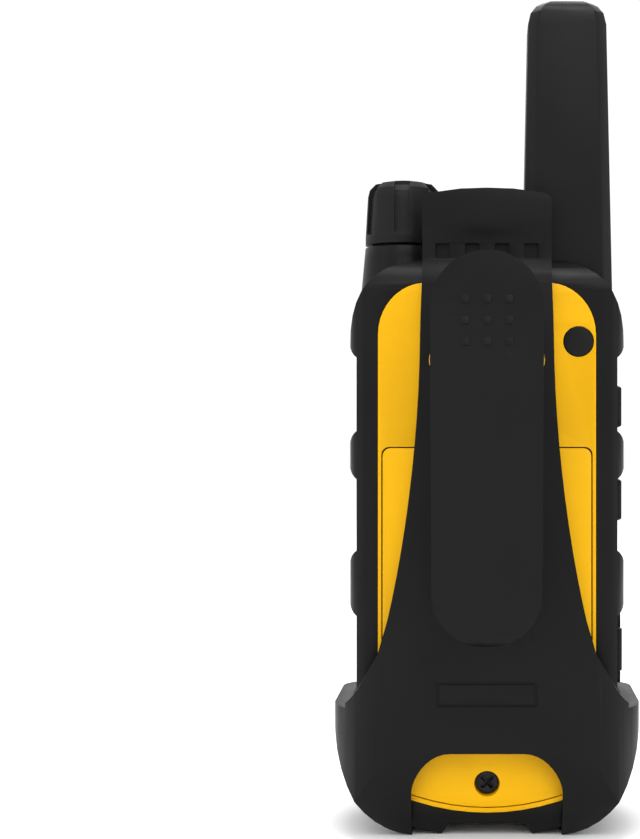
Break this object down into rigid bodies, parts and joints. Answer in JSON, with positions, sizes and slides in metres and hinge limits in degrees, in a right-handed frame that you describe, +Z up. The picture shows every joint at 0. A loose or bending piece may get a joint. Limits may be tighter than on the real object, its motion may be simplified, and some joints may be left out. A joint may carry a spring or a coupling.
{
  "type": "two way radio",
  "caption": "Rugged handheld two way radio with side buttons, stub antenna and volume knob, standing in a cup holster with a sprung belt clip.",
  "frame": {"origin": "middle of the holster's flat foot, in the radio's mid plane between its sides and at its mid depth", "axes": "+Z up towards the antenna tip, +Y towards the belt clip, the display faces -Y, the antenna and side buttons are on the -X side"},
  "size_m": [0.0706, 0.066, 0.1932],
  "materials": {
    "black_moulding": "satin moulded",
    "black_housing": "satin moulded",
    "polished_steel": "polished",
    "spring_steel": "drawn wire and pressed strip",
    "seal_rubber": "matt silicone",
    "yellow_plastic": "satin moulded",
    "blackened_steel": "blackened",
    "brass": "turned",
    "cell_jacket": "printed film jacket, blank",
    "circuit_board": "solder mask",
    "tinned_steel": "tinned",
    "display_glass": "reflective display",
    "lens": "clear, dark backed",
    "foam": "closed-cell foam",
    "speaker_frame": "matt",
    "key_plastic": "satin moulded",
    "switch_plastic": "moulded",
    "black_rubber": "moulded",
    "antenna_rubber": "moulded, fine grain",
    "copper": "enamelled wire"
  },
  "bodies": {
    "holster": {"holster": "black_moulding", "clip_spring": "spring_steel"},
    "radio": {"rear_housing": "black_housing", "front_housing": "black_housing", "housing_seal": "seal_rubber", "housing_screws": "spring_steel", "front_fascia": "yellow_plastic", "rear_panel": "yellow_plastic", "battery_door": "yellow_plastic", "door_seal": "seal_rubber", "door_screw": "blackened_steel", "door_insert": "brass", "battery_cells": "cell_jacket", "battery_springs": "spring_steel", "battery_contacts": "spring_steel", "charging_contacts": "brass", "main_board": "circuit_board", "rf_shield": "tinned_steel", "display_module": "display_glass", "display_lens": "lens", "display_seal": "foam", "speaker": "speaker_frame", "speaker_mesh": "foam", "microphone": "tinned_steel", "ptt_switch": "switch_plastic", "key_switches": "switch_plastic", "side_switches": "switch_plastic", "usb_connector": "tinned_steel", "audio_jack": "switch_plastic", "antenna_sleeve": "antenna_rubber", "antenna_coil": "copper", "antenna_base": "brass", "volume_control": "switch_plastic", "knob_seal": "seal_rubber"},
    "talk_bar": {"ptt_button": "key_plastic"},
    "call_key": {"call_button": "key_plastic"},
    "menu_key": {"menu_button": "key_plastic"},
    "lock_key": {"lock_button": "key_plastic"},
    "up_key": {"up_button": "black_rubber"},
    "down_key": {"down_button": "black_rubber"},
    "usb_flap": {"usb_cover": "black_rubber"},
    "jack_plug": {"jack_cover": "black_rubber"},
    "volume": {"volume_knob": "black_rubber", "volume_shaft": "spring_steel"},
    "clip": {"clip_lever": "black_moulding", "clip_pin": "polished_steel"}
  },
  "joints": [
    {"name": "radio_lift", "type": "slide", "parent": "holster", "child": "radio", "axis": [0, 0, 1], "range_m": [0, 0.15]},
    {"name": "clip_hinge", "type": "hinge", "parent": "holster", "child": "clip", "pos_m": [0, 0.0358, 0.1079], "axis": [1, 0, 0], "range_deg": [0, 18], "stiffness_Nm_per_rad": 0.5, "springref_deg": -11.46, "deforming": ["clip_spring"]},
    {"name": "volume_turn", "type": "hinge", "parent": "radio", "child": "volume", "pos_m": [0.0196, 0.0025, 0.136], "axis": [0, 0, 1], "range_deg": [0, 270]},
    {"name": "ptt_press", "type": "slide", "parent": "radio", "child": "talk_bar", "axis": [0, 1, 0], "range_m": [0, 0.0008], "stiffness_N_per_m": 1800, "springref_m": -0.0004},
    {"name": "call_press", "type": "slide", "parent": "radio", "child": "call_key", "axis": [0, 1, 0], "range_m": [0, 0.0008], "stiffness_N_per_m": 1200, "springref_m": -0.0004},
    {"name": "menu_press", "type": "slide", "parent": "radio", "child": "menu_key", "axis": [0, 1, 0], "range_m": [0, 0.0008], "stiffness_N_per_m": 1200, "springref_m": -0.0004},
    {"name": "lock_press", "type": "slide", "parent": "radio", "child": "lock_key", "axis": [0, 1, 0], "range_m": [0, 0.0008], "stiffness_N_per_m": 1200, "springref_m": -0.0004},
    {"name": "up_press", "type": "slide", "parent": "radio", "child": "up_key", "axis": [1, 0, 0], "range_m": [0, 0.0008], "stiffness_N_per_m": 1200, "springref_m": -0.0004},
    {"name": "down_press", "type": "slide", "parent": "radio", "child": "down_key", "axis": [1, 0, 0], "range_m": [0, 0.0008], "stiffness_N_per_m": 1200, "springref_m": -0.0004},
    {"name": "usb_cover_open", "type": "hinge", "parent": "radio", "child": "usb_flap", "pos_m": [-0.0302, 0.0123, 0.0423], "axis": [0, 0, -1], "range_deg": [0, 100]},
    {"name": "jack_cover_pull", "type": "slide", "parent": "radio", "child": "jack_plug", "axis": [0, 1, 0], "range_m": [0, 0.012]}
  ]
}
